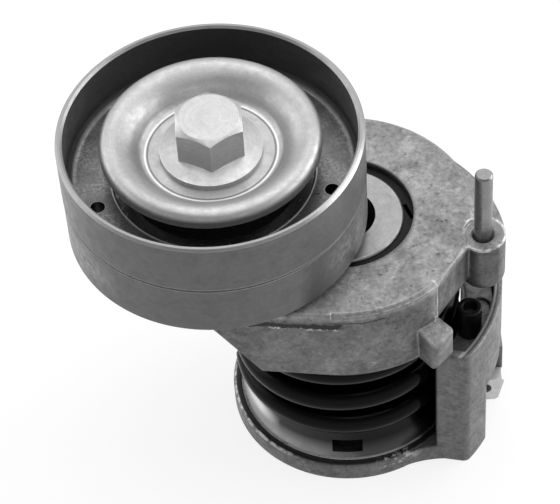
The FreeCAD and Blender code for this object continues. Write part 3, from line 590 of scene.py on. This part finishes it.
def baseMarks(tree, where, color):
    # painted shade on the rim's level top, a painted highlight in flecks along its outer corner at the left,
    # bright scuffs on its outer side, and painted shade and a painted highlight along the top of the pocket's
    # wall
    radius, angle, height = polarOf(tree, where)
    rim, rimTop, wallInner = baseLook["rimRadius"], baseLook["rimTop"], baseLook["wallInner"]
    # painted shade on the rim's level top, in the gap by the seat's lip
    level = bandOf(tree, height, rimTop - 0.3 * mm, rimTop + 0.2 * mm, 0.15 * mm)
    flat = bandOf(tree, radius, rim - baseLook["rimWall"] - 0.3 * mm, rim - 0.7 * mm, 0.3 * mm)
    color = painted(tree, color, allOf(tree, level, flat), baseLook["rimShadeColor"])
    # a painted highlight in flecks along the rim's outer corner at the left; the scuffs at the front share its
    # colour
    corner = bandOf(tree, radius, rim - 0.65 * mm, rim + 0.1 * mm, 0.1 * mm)
    high = bandOf(tree, height, rimTop - 0.5 * mm, rimTop + 0.1 * mm, 0.15 * mm)
    leftRimHighlight = allOf(tree, corner, high, acrossBack(tree, angle, *baseLook["leftRimHighlightAngles"]),
                    flecksOf(tree, where, *baseLook["leftRimHighlightFlecks"]))
    scuffed = allOf(tree, bandOf(tree, height, rimTop - baseLook["scuffHeight"], rimTop, 0.6 * mm),
                    bandOf(tree, angle, *baseLook["scuffAngles"]),
                    flecksOf(tree, where, *baseLook["scuffFlecks"]))
    color = painted(tree, color, mathNode(tree, "MAXIMUM", leftRimHighlight, scuffed), baseLook["brightColor"])
    # painted shade on the outer half of the pocket wall's top, a painted highlight along its inner half
    columnTop = baseLook["columnTop"]
    wallTop = bandOf(tree, height, columnTop - 0.25 * mm, columnTop + 0.1 * mm, 0.1 * mm)
    outerHalf = bandOf(tree, radius, wallInner + 0.75 * mm, wallInner + 1.05 * mm, 0.12 * mm)
    innerHalf = bandOf(tree, radius, wallInner - 0.2 * mm, wallInner + 0.5 * mm, 0.1 * mm)
    color = painted(tree, color, allOf(tree, wallTop, outerHalf), baseLook["columnTopShade"],
                    baseLook["columnTopShadeStrength"])
    color = painted(tree, color, allOf(tree, wallTop, innerHalf), baseLook["columnTopHighlight"],
                    baseLook["columnTopHighlightStrength"])
    return color, 0.0


seatLook = {
    "springShadeFrom": 0.4 * mm, "springShadeTo": 6.5 * mm, "lowShade": 1.8, "highShade": 0.14,
    "frontShade": (-170.0, -85.0, 5.5, 0.55), "backShade": (110.0, 178.0, 0.55, 5.5),
    "sheenAngles": (-172.0, -150.0, 16.0), "sheenFrom": 5.6 * mm, "sheenTo": 6.6 * mm, "sheenFade": 1.6 * mm,
    "sheen": 0.9, "sheenColor": grey(0.92), "lipHeight": 1.7 * mm, "lipFade": 0.5 * mm,
    "lip": 0.85, "lipColor": grey(0.62)}


def seatMarks(tree, where, color):
    # painted shade and a painted reflection of the spring, darker towards the spring, painted light brighter at
    # the left and darker towards the column, a painted highlight at the left and a painted highlight down to
    # its lip
    angle, height = polarOf(tree, where)[1:]
    low = bottomOf("spring_seat")
    # painted shade and a painted reflection of the dark spring, darker upwards towards the spring
    shade = remap(tree, height, low + seatLook["springShadeFrom"], low + seatLook["springShadeTo"],
                  seatLook["lowShade"], seatLook["highShade"])
    # painted light: bright at the left, darker elsewhere; the two shades meet at the left, where the angle
    # jumps by a full turn
    side = mathNode(tree, "MAXIMUM", remap(tree, angle, *seatLook["frontShade"]),
                    remap(tree, angle, *seatLook["backShade"]))
    color = stained(tree, color, mathNode(tree, "MULTIPLY", shade, side))
    # a painted highlight in a band at the left
    sheen = allOf(tree, bandOf(tree, height, low + seatLook["sheenFrom"], low + seatLook["sheenTo"],
                               seatLook["sheenFade"]), acrossBack(tree, angle, *seatLook["sheenAngles"]))
    color = painted(tree, color, sheen, seatLook["sheenColor"], seatLook["sheen"])
    # a painted highlight down to the lip
    lip = bandOf(tree, height, low - 0.2 * mm, low + seatLook["lipHeight"], seatLook["lipFade"])
    return painted(tree, color, lip, seatLook["lipColor"], seatLook["lip"]), 0.0


pulleyLook = {
    "wallDepth": 1.7 * mm, "edgeColor": grey(0.38), "edge": 0.75, "innerDepth": 4.0 * mm, "innerShade": 1.6,
    "sideGlintFrom": 7.0 * mm, "sideGlintTo": 9.0 * mm, "sideGlintFade": 5.0 * mm, "sideGlintLeft": (-154.0, -146.0, 16.0),
    "sideGlintRight": (-33.0, -27.0, 16.0), "scuffFlecks": (700.0, 0.38, 0.70), "sideGlintColor": grey(0.42),
    "sideGlints": 0.75, "stainFlecks": (180.0, 0.38, 0.66), "stainGrain": (1400.0, 0.40, 0.60),
    "stainColor": grey(0.30), "ringHighlightColor": grey(0.80), "seatRise": 40.0,
    "highlightAngles": (-38.0, -22.0, 14.0), "highlight": 1.7, "grooveHalf": 0.42 * mm, "grooveLightColor": grey(0.55),
    "groove": 0.75, "holeShadeColor": grey(0.006)}
webHoles = {"count": 5, "first": -16.6, "distance": 28.0 * mm, "radius": 1.75 * mm, "depth": 4.3 * mm}


def holeDistance(tree, radius, angle):
    # the distance from the middle of the nearest of the web's holes
    step = 360.0 / webHoles["count"]
    folded = mathNode(tree, "FLOORED_MODULO", mathNode(tree, "ADD", angle, step / 2 - webHoles["first"]), step)
    folded = mathNode(tree, "RADIANS", mathNode(tree, "SUBTRACT", folded, step / 2))
    across = mathNode(tree, "MULTIPLY", radius, mathNode(tree, "SINE", folded))
    out = mathNode(tree, "SUBTRACT", mathNode(tree, "MULTIPLY", radius, mathNode(tree, "COSINE", folded)),
                   webHoles["distance"])
    squares = [mathNode(tree, "MULTIPLY", side, side) for side in (across, out)]
    return mathNode(tree, "SQRT", mathNode(tree, "ADD", *squares))


def pulleyMarks(tree, where, color):
    # a bright turned edge, painted light on the rim's inner wall, painted highlights on the lower band's left
    # and right, a stained web, a painted highlight ring at the bearing, a painted highlight on the wall's front
    # right, painted light in the groove, painted shade in the holes
    radius, angle, height = polarOf(tree, where, pulleyAxis)
    top, bottom = topOf("pulley_rim"), bottomOf("pulley_rim")
    webTop = topOf("pulley_web")
    outside, bore = halfWidth("pulley_rim"), halfWidth("bearing_outer_ring")
    wall = bandOf(tree, radius, outside - pulleyLook["wallDepth"], outside + 0.2 * mm, 0.1 * mm)
    edge = allOf(tree, wall, bandOf(tree, height, top - 0.5 * mm, top + 0.1 * mm, 0.15 * mm))
    color = painted(tree, color, edge, pulleyLook["edgeColor"], pulleyLook["edge"])
    # painted light: the rim's inner wall above the web lighter
    inner = allOf(tree, bandOf(tree, radius, outside - pulleyLook["innerDepth"], outside - 1.75 * mm, 0.1 * mm),
                  bandOf(tree, height, webTop + 1.5 * mm, top - 0.6 * mm, 1.0 * mm))
    color = shadedIn(tree, color, inner, pulleyLook["innerShade"])
    # painted highlights on the lower band's left and right, broken into scuff-like flecks
    lower = bandOf(tree, height, bottom + pulleyLook["sideGlintFrom"], bottom + pulleyLook["sideGlintTo"],
                   pulleyLook["sideGlintFade"])
    sides = mathNode(tree, "MAXIMUM", bandOf(tree, angle, *pulleyLook["sideGlintLeft"]),
                     bandOf(tree, angle, *pulleyLook["sideGlintRight"]))
    sideGlints = allOf(tree, wall, lower, sides, flecksOf(tree, where, *pulleyLook["scuffFlecks"]))
    color = painted(tree, color, sideGlints, pulleyLook["sideGlintColor"], pulleyLook["sideGlints"])
    face = allOf(tree, bandOf(tree, radius, bore, outside - 2.6 * mm, 0.2 * mm),
                 bandOf(tree, height, webTop - 0.2 * mm, webTop + 0.1 * mm, 0.1 * mm))
    stain = allOf(tree, face, flecksOf(tree, where, *pulleyLook["stainFlecks"]),
                  flecksOf(tree, where, *pulleyLook["stainGrain"]))
    color = painted(tree, color, stain, pulleyLook["stainColor"])
    # a painted highlight ring at the bearing's edge, raised a little by the bump
    seat = allOf(tree, bandOf(tree, radius, bore - 0.1 * mm, bore + 0.30 * mm, 0.15 * mm),
                 bandOf(tree, height, webTop - 0.6 * mm, webTop + 0.1 * mm, 0.1 * mm))
    color = painted(tree, color, seat, pulleyLook["ringHighlightColor"])
    # a painted highlight on the wall's front right
    highlighted = allOf(tree, wall, bandOf(tree, angle, *pulleyLook["highlightAngles"]),
                     bandOf(tree, height, bottom, top, 1.0 * mm))
    color = shadedIn(tree, color, highlighted, pulleyLook["highlight"])
    # painted light: the groove lighter, against the shade in it
    half, grooveHeight = pulleyLook["grooveHalf"], (top + bottom) / 2
    groove = allOf(tree, bandOf(tree, height, grooveHeight - half, grooveHeight + half, 0.05 * mm), wall)
    color = painted(tree, color, groove, pulleyLook["grooveLightColor"], pulleyLook["groove"])
    # painted shade in the web's holes
    hole = allOf(tree, bandOf(tree, holeDistance(tree, radius, angle), -0.1 * mm, webHoles["radius"], 0.1 * mm),
                 bandOf(tree, height, webTop - webHoles["depth"], webTop - 0.25 * mm, 0.1 * mm))
    color = painted(tree, color, hole, pulleyLook["holeShadeColor"])
    return color, mathNode(tree, "MULTIPLY", seat, -pulleyLook["seatRise"])


capLook = {"seatHeight": 1.6 * mm, "brightRing": (15.0 * mm, 15.3 * mm, 0.1 * mm), "bright": 0.8,
           "brightColor": grey(0.85), "darkRing": (14.45 * mm, 14.75 * mm, 0.12 * mm), "dark": 0.75,
           "darkColor": grey(0.12)}


def capMarks(tree, where, color):
    # the crease where the cap's flat seat turns up into its bowl, drawn as a line of painted shade inside a
    # line of painted highlight
    radius, _, height = polarOf(tree, where, pulleyAxis)
    low = bottomOf("dust_cap")
    seat = bandOf(tree, height, low, low + capLook["seatHeight"], 0.1 * mm)
    # painted shade just inside the crease, a painted highlight on it
    dark = allOf(tree, seat, bandOf(tree, radius, *capLook["darkRing"]))
    bright = allOf(tree, seat, bandOf(tree, radius, *capLook["brightRing"]))
    color = painted(tree, color, dark, capLook["darkColor"], capLook["dark"])
    return painted(tree, color, bright, capLook["brightColor"], capLook["bright"]), 0.0


blackFinish = turnedMaterial("blackPolymer", blackPolymer, pivotAxis)
sealFinish = turnedMaterial("sealRubber", sealRubber, pulleyAxis)
bearingFinish = turnedMaterial("bearingSteel", bearingSteel, pulleyAxis)
armFinish = castMaterial("armCasting", armCasting, armMarks)
baseFinish = castMaterial("baseCasting", baseCasting, baseMarks)
pulleyFinish = turnedMaterial("pulleySteel", pulleySteel, pulleyAxis, pulleyMarks)
finishes = {
    "tensioner_arm": armFinish,
    "base_bracket": baseFinish,
    "column_wall": baseFinish,
    "pulley_rim": pulleyFinish,
    "pulley_web": pulleyFinish,
    "dust_cap": turnedMaterial("capZinc", zincPlate, pulleyAxis, capMarks),
    "pulley_bolt": turnedMaterial("boltZinc", boltZinc, pulleyAxis),
    "mount_nut": turnedMaterial("nutZinc", nutZinc, middle("mount_nut")),
    "pivot_tube": turnedMaterial("pivotSteel", turnedSteel, pivotAxis),
    "spring_seat": turnedMaterial("seatSheet", seatSheet, pivotAxis, seatMarks),
    "torsion_spring": turnedMaterial("springBlack", springBlack, pivotAxis),
    "lock_pin": turnedMaterial("pinSteel", pinSteel, pinAxis),
    "stop_peg": turnedMaterial("pegSteel", pinSteel, middle("stop_peg")),
    "stop_buffer": turnedMaterial("bufferRubber", bufferRubber, middle("stop_buffer")),
    "pulley_spacer": turnedMaterial("spacerSteel", turnedSteel, pulleyAxis),
    "ball_cage": turnedMaterial("cageBrass", cageBrass, pulleyAxis),
}
for node in ("pivot_bush", "spring_guide", "spring_cap", "thrust_washer"):
    finishes[node] = blackFinish
for node in ("front_seal", "rear_seal"):
    finishes[node] = sealFinish
for node in ("bearing_outer_ring", "bearing_inner_ring", "bearing_balls"):
    finishes[node] = bearingFinish


def giveFinish(piece, material):
    piece.data.materials.clear()
    piece.data.materials.append(material)


for name, piece in frame["nodes"].items():
    giveFinish(piece, finishes[name])
print("finishes given:", len(finishes))


# Smooth copies of the CAD pieces, with rounded edges where the real ones have them

# the width of the rounding in mm, and the angle in degrees from which an edge counts as sharp
roundings = {("tensioner_arm",): (0.45, 32), ("base_bracket", "column_wall"): (0.45, 32),
             ("pulley_rim", "pulley_web"): (0.2, 32), ("pulley_bolt",): (0.18, 14), ("dust_cap",): (0.0, 40),
             ("pivot_tube",): (0.12, 32), ("spring_seat",): (0.0, 40), ("lock_pin",): (0.1, 32),
             ("stop_buffer",): (0.35, 32), ("mount_nut",): (0.3, 32), ("pivot_bush",): (0.1, 32),
             ("pulley_spacer",): (0.1, 32), ("spring_cap",): (0.2, 32), ("spring_guide",): (0.0, 32)}
skinWork = {"merge": 0.004 * mm, "levelAngle": 0.3, "segments": 3}


def copyOf(node):
    piece = frame["nodes"][node].copy()
    piece.data = frame["nodes"][node].data.copy()
    piece.name = node + "_finish"
    bpy.context.collection.objects.link(piece)
    piece.parent = None
    piece.matrix_world = Matrix.Identity(4)
    mergeDoubles(piece)
    return piece


def mergeDoubles(piece):
    pickOnly(piece)
    bpy.ops.object.mode_set(mode="EDIT")
    bpy.ops.mesh.select_all(action="SELECT")
    bpy.ops.mesh.remove_doubles(threshold=skinWork["merge"])
    bpy.ops.mesh.customdata_custom_splitnormals_clear()
    bpy.ops.object.mode_set(mode="OBJECT")


def joinedTo(piece, other):
    # one skin round two pieces that meet face to face
    union = piece.modifiers.new("union", "BOOLEAN")
    union.operation = "UNION"
    union.solver = "EXACT"
    union.object = other
    applyAll(piece)
    bpy.data.objects.remove(other, do_unlink=True)
    mergeDoubles(piece)


def smoothCopy(nodes, rounding, sharpAngle):
    piece = copyOf(nodes[0])
    for node in nodes[1:]:
        joinedTo(piece, copyOf(node))
    pickOnly(piece)
    bpy.ops.object.mode_set(mode="EDIT")
    bpy.ops.mesh.select_all(action="SELECT")
    bpy.ops.mesh.dissolve_limited(angle_limit=math.radians(skinWork["levelAngle"]))
    bpy.ops.object.mode_set(mode="OBJECT")
    if rounding:
        bevel = piece.modifiers.new("rounding", "BEVEL")
        bevel.width = rounding * mm
        bevel.segments = skinWork["segments"]
        bevel.limit_method = "ANGLE"
        bevel.angle_limit = math.radians(sharpAngle)
        bevel.use_clamp_overlap = True
        bevel.harden_normals = False
        applyAll(piece)
    pickOnly(piece)
    bpy.ops.object.shade_smooth_by_angle(angle=math.radians(sharpAngle))
    flatten = piece.modifiers.new("level faces", "WEIGHTED_NORMAL")
    flatten.keep_sharp = True
    applyAll(piece)
    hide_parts(*nodes)
    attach(piece, bodyOf(nodes[0]))
    return piece


finished = {nodes[0]: smoothCopy(nodes, *shaping) for nodes, shaping in roundings.items()}
print("smooth copies made:", len(finished))


# The torsion spring, swept along its coil from a round section of the wire

# angles in degrees along the wire, counted from the front; a station is (angle, height of the wire's middle)
spring = {"wireRadius": 3.3 * mm, "coilRadius": 24.4 * mm, "sides": 24, "step": 5, "sharpAngle": 32,
          "stations": ((-85, 17.9 * mm), (40, 17.9 * mm), (310, 25.8 * mm), (720, 37.2134 * mm),
                       (1400, 55.6 * mm)),
          "end": 1535, "front": -90, "blend": 60, "blendStep": 15}


def stationHeight(angle):
    stations = spring["stations"]
    for (start, low), (finish, high) in zip(stations, stations[1:]):
        if angle <= finish:
            return low + (high - low) * max(0.0, angle - start) / (finish - start)
    return stations[-1][1]


def coilHeight(angle):
    # the pitch changes gently from one station to the next
    shifts = range(-spring["blend"], spring["blend"] + 1, spring["blendStep"])
    return sum(stationHeight(angle + shift) for shift in shifts) / len(shifts)


def sweepSpring():
    start, step = spring["stations"][0][0], spring["step"]
    turn = math.radians(start + spring["front"])
    place = Vector((math.cos(turn), math.sin(turn), 0)) * spring["coilRadius"]
    deselectAll()
    bpy.ops.mesh.primitive_circle_add(
        vertices=spring["sides"], radius=spring["wireRadius"], fill_type="NGON",
        location=(place.x, place.y, coilHeight(start)), rotation=(math.pi / 2, 0, turn))
    coil = bpy.context.object
    coil.name = "torsion_spring_finish"
    bpy.ops.object.transform_apply(location=True, rotation=True, scale=True)
    bpy.ops.object.mode_set(mode="EDIT")
    bpy.ops.mesh.select_all(action="SELECT")
    for angle in range(start, spring["end"], step):
        rise = coilHeight(angle + step) - coilHeight(angle)
        bpy.ops.mesh.extrude_region_move(TRANSFORM_OT_translate={"value": (0, 0, rise)})
        bpy.ops.transform.rotate(value=-math.radians(step), orient_axis="Z", center_override=(0, 0, 0))
    bpy.ops.mesh.select_all(action="SELECT")
    bpy.ops.mesh.normals_make_consistent(inside=False)
    bpy.ops.object.mode_set(mode="OBJECT")
    bpy.ops.object.shade_smooth_by_angle(angle=math.radians(spring["sharpAngle"]))
    giveFinish(coil, finishes["torsion_spring"])
    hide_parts("torsion_spring")
    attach(coil, bodyOf("torsion_spring"))
    return coil


finished["torsion_spring"] = sweepSpring()
print("spring swept:", [round(value / mm, 2) for value in finished["torsion_spring"].dimensions])


# Floor, light and camera

camera = {"azimuth": 1.257, "elevation": 49.722, "roll": -4.266, "distance": 0.61915, "lens": 167.3,
          "sensor": 36.0, "near": 0.05, "far": 10.0, "aimRight": -2.154 * mm, "aimUp": 1.553 * mm}
# a lamp is (name, place from the middle of the part, width, height, power)
studio = {"floorColor": grey(0.22), "floorRoughness": 0.9, "floorGlow": 0.82, "floorSize": 3.0, "ambient": 0.12,
          "horizon": 1.0, "zenith": 0.24, "horizonUpTo": 0.2, "zenithFrom": 0.7,
          "lamps": (("overhead", (0.0, 0.50, 0.70), 1.5, 0.6, 3.1), ("top", (0.05, 0.05, 0.95), 1.0, 1.0, 4.6),
                    ("left", (-0.65, 0.25, 0.22), 0.7, 0.6, 1.7), ("right", (0.68, 0.12, 0.25), 0.6, 0.6, 3.4))}


def setFloor():
    low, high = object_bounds()
    bpy.ops.mesh.primitive_plane_add(size=studio["floorSize"],
                                     location=((low[0] + high[0]) / 2, (low[1] + high[1]) / 2, low[2]))
    floor = bpy.context.object
    floor.name = "floor"
    material, tree, shader = newMaterial("floor", 0.0, studio["floorRoughness"], 0.5)[:3]
    shader.inputs["Base Color"].default_value = (*studio["floorColor"], 1.0)
    glow = addNode(tree, "ShaderNodeEmission")
    both = addNode(tree, "ShaderNodeAddShader")
    tree.links.new(mathNode(tree, "MULTIPLY", seenRays(tree), studio["floorGlow"]), glow.inputs["Strength"])
    tree.links.new(shader.outputs[0], both.inputs[0])
    tree.links.new(glow.outputs[0], both.inputs[1])
    tree.links.new(both.outputs[0], tree.nodes["Material Output"].inputs["Surface"])
    giveFinish(floor, material)
    floor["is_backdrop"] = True


def seenRays(tree):
    # rays that show the backdrop: the camera's, and those that metal and glass send on
    path = addNode(tree, "ShaderNodeLightPath")
    rays = mathNode(tree, "MAXIMUM", path.outputs["Is Camera Ray"], path.outputs["Is Glossy Ray"])
    return mathNode(tree, "MAXIMUM", rays, path.outputs["Is Transmission Ray"])


def setWorld():
    # a pale backdrop that darkens overhead, over a weaker even light
    world = bpy.data.worlds.new("studio")
    bpy.context.scene.world = world
    world.use_nodes = True
    sky = world.node_tree
    back = sky.nodes["Background"]
    back.inputs["Color"].default_value = (1, 1, 1, 1)
    coords = addNode(sky, "ShaderNodeTexCoord")
    parts = addNode(sky, "ShaderNodeSeparateXYZ")
    sky.links.new(coords.outputs["Generated"], parts.inputs[0])
    backdrop = remap(sky, parts.outputs["Z"], studio["horizonUpTo"], studio["zenithFrom"],
                     studio["horizon"], studio["zenith"])
    extra = mathNode(sky, "SUBTRACT", backdrop, studio["ambient"])
    strength = mathNode(sky, "ADD", mathNode(sky, "MULTIPLY", extra, seenRays(sky)), studio["ambient"])
    sky.links.new(strength, back.inputs["Strength"])


def setLamps():
    low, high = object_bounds()
    centre = (Vector(low) + Vector(high)) / 2
    for name, place, width, height, power in studio["lamps"]:
        bpy.ops.object.light_add(type="AREA", location=centre + Vector(place))
        lamp = bpy.context.object
        lamp.name = name
        lamp.data.shape = "RECTANGLE"
        lamp.data.size = width
        lamp.data.size_y = height
        lamp.data.energy = power
        lamp.rotation_euler = (centre - lamp.location).to_track_quat("-Z", "Y").to_euler()


def setCamera():
    low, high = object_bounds()
    centre = (Vector(low) + Vector(high)) / 2
    turn, rise = math.radians(camera["azimuth"]), math.radians(camera["elevation"])
    back = Vector((math.sin(turn) * math.cos(rise), -math.cos(turn) * math.cos(rise), math.sin(rise)))
    right = Vector((0, 0, 1)).cross(back).normalized()
    up = back.cross(right)
    roll = math.radians(camera["roll"])
    right, up = right * math.cos(roll) + up * math.sin(roll), up * math.cos(roll) - right * math.sin(roll)
    aim = centre + right * camera["aimRight"] + up * camera["aimUp"]
    bpy.ops.object.camera_add(location=aim + back * camera["distance"])
    eye = bpy.context.object
    eye.matrix_world = Matrix.Translation(eye.location) @ Matrix((right, up, back)).transposed().to_4x4()
    eye.data.lens = camera["lens"]
    eye.data.sensor_width = camera["sensor"]
    eye.data.clip_start, eye.data.clip_end = camera["near"], camera["far"]
    bpy.context.scene.camera = eye


deselectAll()
setFloor()
setWorld()
setLamps()
setCamera()
bpy.context.scene.view_settings.view_transform = "Standard"
print("studio and camera set")
